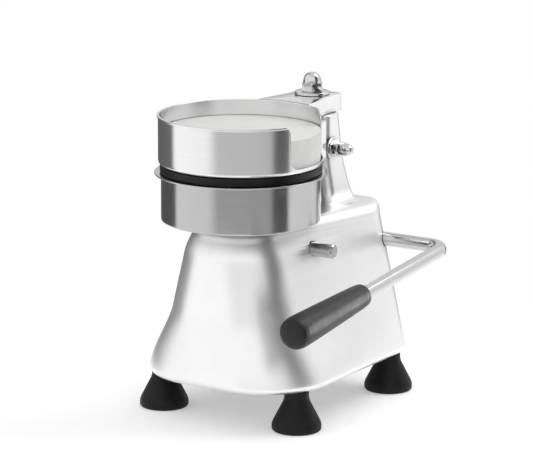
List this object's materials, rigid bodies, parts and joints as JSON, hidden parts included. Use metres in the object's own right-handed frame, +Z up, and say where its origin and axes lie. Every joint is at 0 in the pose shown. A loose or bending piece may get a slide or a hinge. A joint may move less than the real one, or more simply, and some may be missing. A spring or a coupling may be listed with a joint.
{
  "type": "patty press",
  "caption": "Hand-lever patty press: hollow cast body on rubber feet, steel mould with rising press plate, swing-aside lid plate with paper-disc holder, bent side lever with black grip.",
  "frame": {"origin": "centre of the whole press's bounding box in plan, on the surface it stands on", "axes": "+Z up along the mould's axis, -Y towards the front where the lever's grip points, +X towards the side the lever is on"},
  "size_m": [0.2248, 0.2734, 0.2749],
  "materials": {
    "cast_aluminium": "satin cast and linished",
    "turned_aluminium": "fine turned",
    "brushed_stainless": "circumferentially brushed",
    "polished_steel": "polished",
    "plated_steel": "zinc plated, dull",
    "bronze": "sintered, oiled",
    "black_plate": "matte black",
    "black_grip": "satin black",
    "black_rubber": "matte",
    "white_nylon": "natural white",
    "wax_paper": "waxed, white"
  },
  "bodies": {
    "base": {"body_casting": "cast_aluminium", "mould_ring": "brushed_stainless", "guide_bush": "bronze", "foot_front_left": "black_rubber", "foot_front_right": "black_rubber", "foot_rear_left": "black_rubber", "foot_rear_right": "black_rubber", "foot_bolt_front_left": "plated_steel", "foot_bolt_front_right": "plated_steel", "foot_bolt_rear_left": "plated_steel", "foot_bolt_rear_right": "plated_steel", "mould_screw_1": "plated_steel", "mould_screw_2": "plated_steel", "mould_screw_3": "plated_steel", "shaft_bush_right": "bronze", "shaft_bush_left": "bronze", "fulcrum_pin": "polished_steel", "fulcrum_ring_left": "plated_steel", "fulcrum_ring_right": "plated_steel", "clamp_bolt": "polished_steel", "clamp_washer_left": "polished_steel", "clamp_washer_right": "polished_steel", "clamp_acorn_nut": "polished_steel", "thrust_washer": "white_nylon"},
    "lid": {"swivel_arm": "cast_aluminium", "pivot_post": "polished_steel", "pivot_washer": "polished_steel", "pivot_acorn_nut": "polished_steel", "lid_screw_1": "plated_steel", "lid_screw_2": "plated_steel", "lid_screw_3": "plated_steel", "lid_screw_4": "plated_steel", "lid_plate_screw_1": "plated_steel", "lid_plate_screw_2": "plated_steel", "lid_plate_screw_3": "plated_steel", "upper_press_plate": "black_plate", "paper_magazine": "brushed_stainless"},
    "paper": {"paper_disc_stack": "wax_paper"},
    "lever": {"lever_rod": "polished_steel", "hand_grip": "black_grip", "crank_arm": "plated_steel", "crank_key": "plated_steel", "shaft_ring_left": "plated_steel", "shaft_ring_right": "plated_steel"},
    "rocker": {"rocker_arm": "plated_steel", "rocker_bush": "bronze"},
    "piston": {"piston_rod": "polished_steel", "piston_pin": "plated_steel", "lower_press_plate": "turned_aluminium", "plate_screw": "plated_steel"}
  },
  "joints": [
    {"name": "lever_hinge", "type": "hinge", "parent": "base", "child": "lever", "pos_m": [-0.0252, 0.10849, 0.134], "axis": [-1, 0, 0], "range_deg": [0, 56]},
    {"name": "rocker_hinge", "type": "hinge", "parent": "base", "child": "rocker", "pos_m": [-0.0252, 0.0135, 0.142], "axis": [1, 0, 0], "range_deg": [0, 28.2]},
    {"name": "piston_slide", "type": "slide", "parent": "base", "child": "piston", "axis": [0, 0, 1], "range_m": [-0.0159, 0]},
    {"name": "lid_swivel", "type": "hinge", "parent": "base", "child": "lid", "pos_m": [-0.0252, 0.0932, 0.2414], "axis": [0, 0, -1], "range_deg": [0, 110]},
    {"name": "paper_lift", "type": "slide", "parent": "lid", "child": "paper", "axis": [0, 0, 1], "range_m": [0, 0.06]}
  ],
  "couplings": [
    {"joint": "rocker_hinge", "follows": "lever_hinge", "ratio": 0.5027},
    {"joint": "piston_slide", "follows": "lever_hinge", "m_per_rad": -0.016247}
  ]
}
